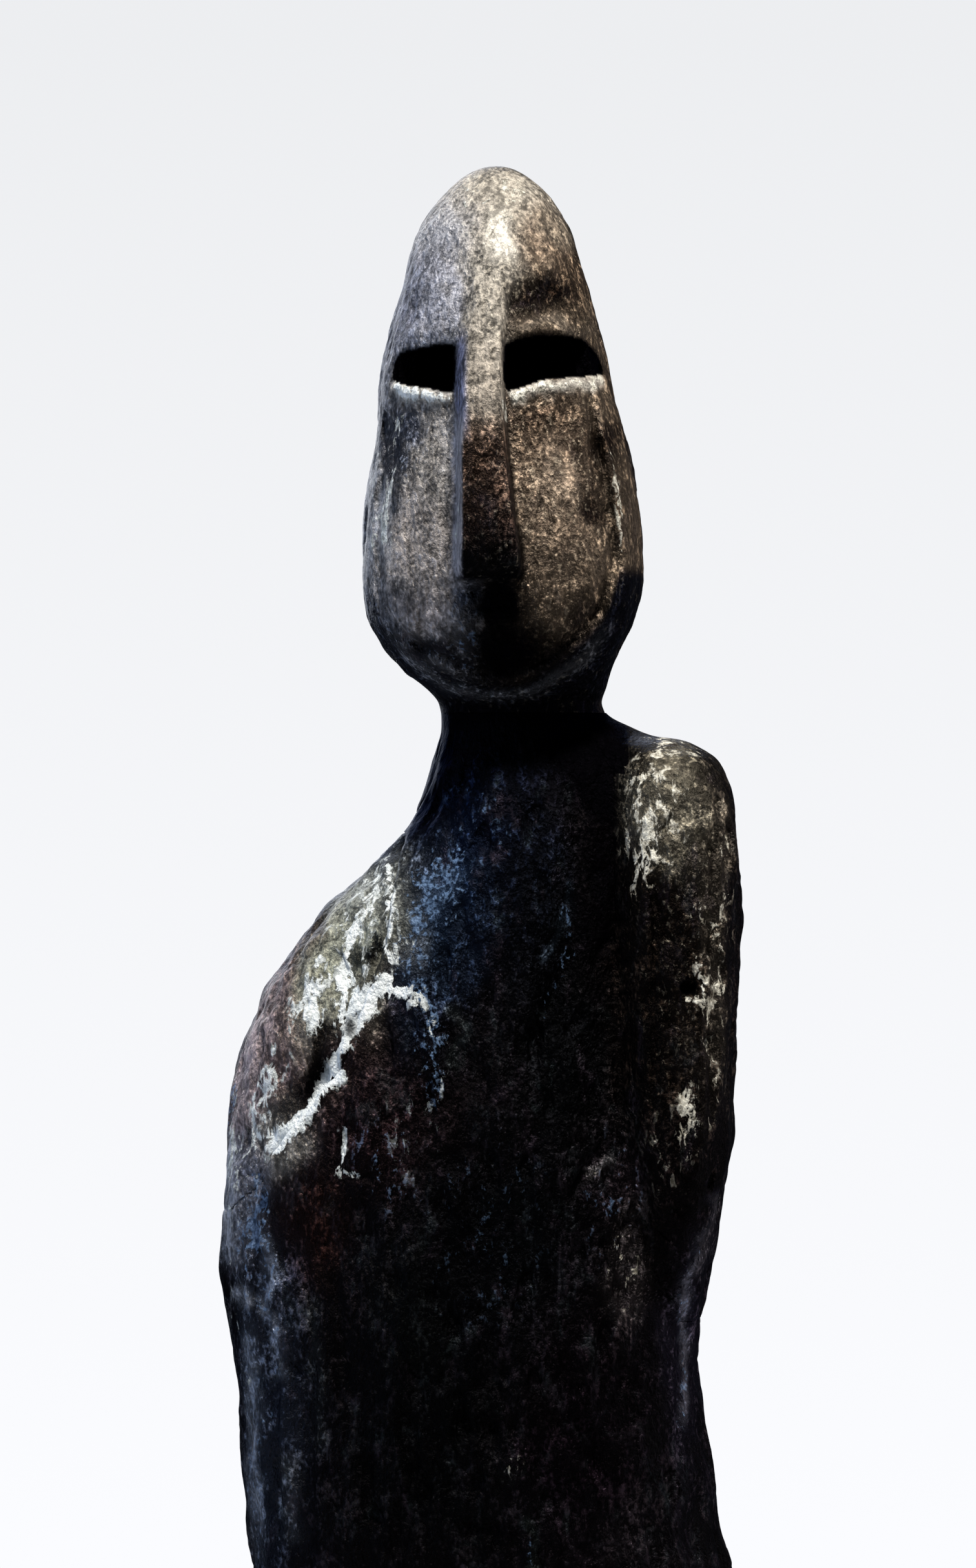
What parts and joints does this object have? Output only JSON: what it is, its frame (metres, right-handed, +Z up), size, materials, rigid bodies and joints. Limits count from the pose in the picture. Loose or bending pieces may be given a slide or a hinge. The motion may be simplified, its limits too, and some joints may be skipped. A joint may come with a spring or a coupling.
{
  "type": "standing ancestor figure",
  "caption": "Hollow-cast standing figure with a mask-like face, a blade nose, deep eye slots and a long robe, bolted on a stone plinth.",
  "frame": {"origin": "middle of the felt pad's underside, which is what the figure stands on", "axes": "+Z up, the figure looks along -Y, +X is on the viewer's right and is the figure's own left"},
  "size_m": [0.128, 0.1, 0.462],
  "materials": {
    "patinated_bronze": "satin",
    "bare_bronze": "satin",
    "granite": "satin",
    "zinc_steel": "satin",
    "felt": "matte"
  },
  "bodies": {
    "root": {"head_shell": "patinated_bronze", "torso_shell": "patinated_bronze", "left_arm_shell": "patinated_bronze", "right_arm_shell": "patinated_bronze", "robe_shell": "patinated_bronze", "neck_sleeve": "bare_bronze", "waist_sleeve": "bare_bronze", "neck_rivets": "bare_bronze", "waist_rivets": "bare_bronze", "left_arm_dowels": "bare_bronze", "right_arm_dowels": "bare_bronze", "core_pin_plugs": "bare_bronze", "foot_plate": "bare_bronze", "stud_bosses": "bare_bronze", "plinth": "granite", "mounting_studs": "zinc_steel", "stud_washers": "zinc_steel", "stud_nuts": "zinc_steel", "felt_pad": "felt"}
  },
  "joints": []
}
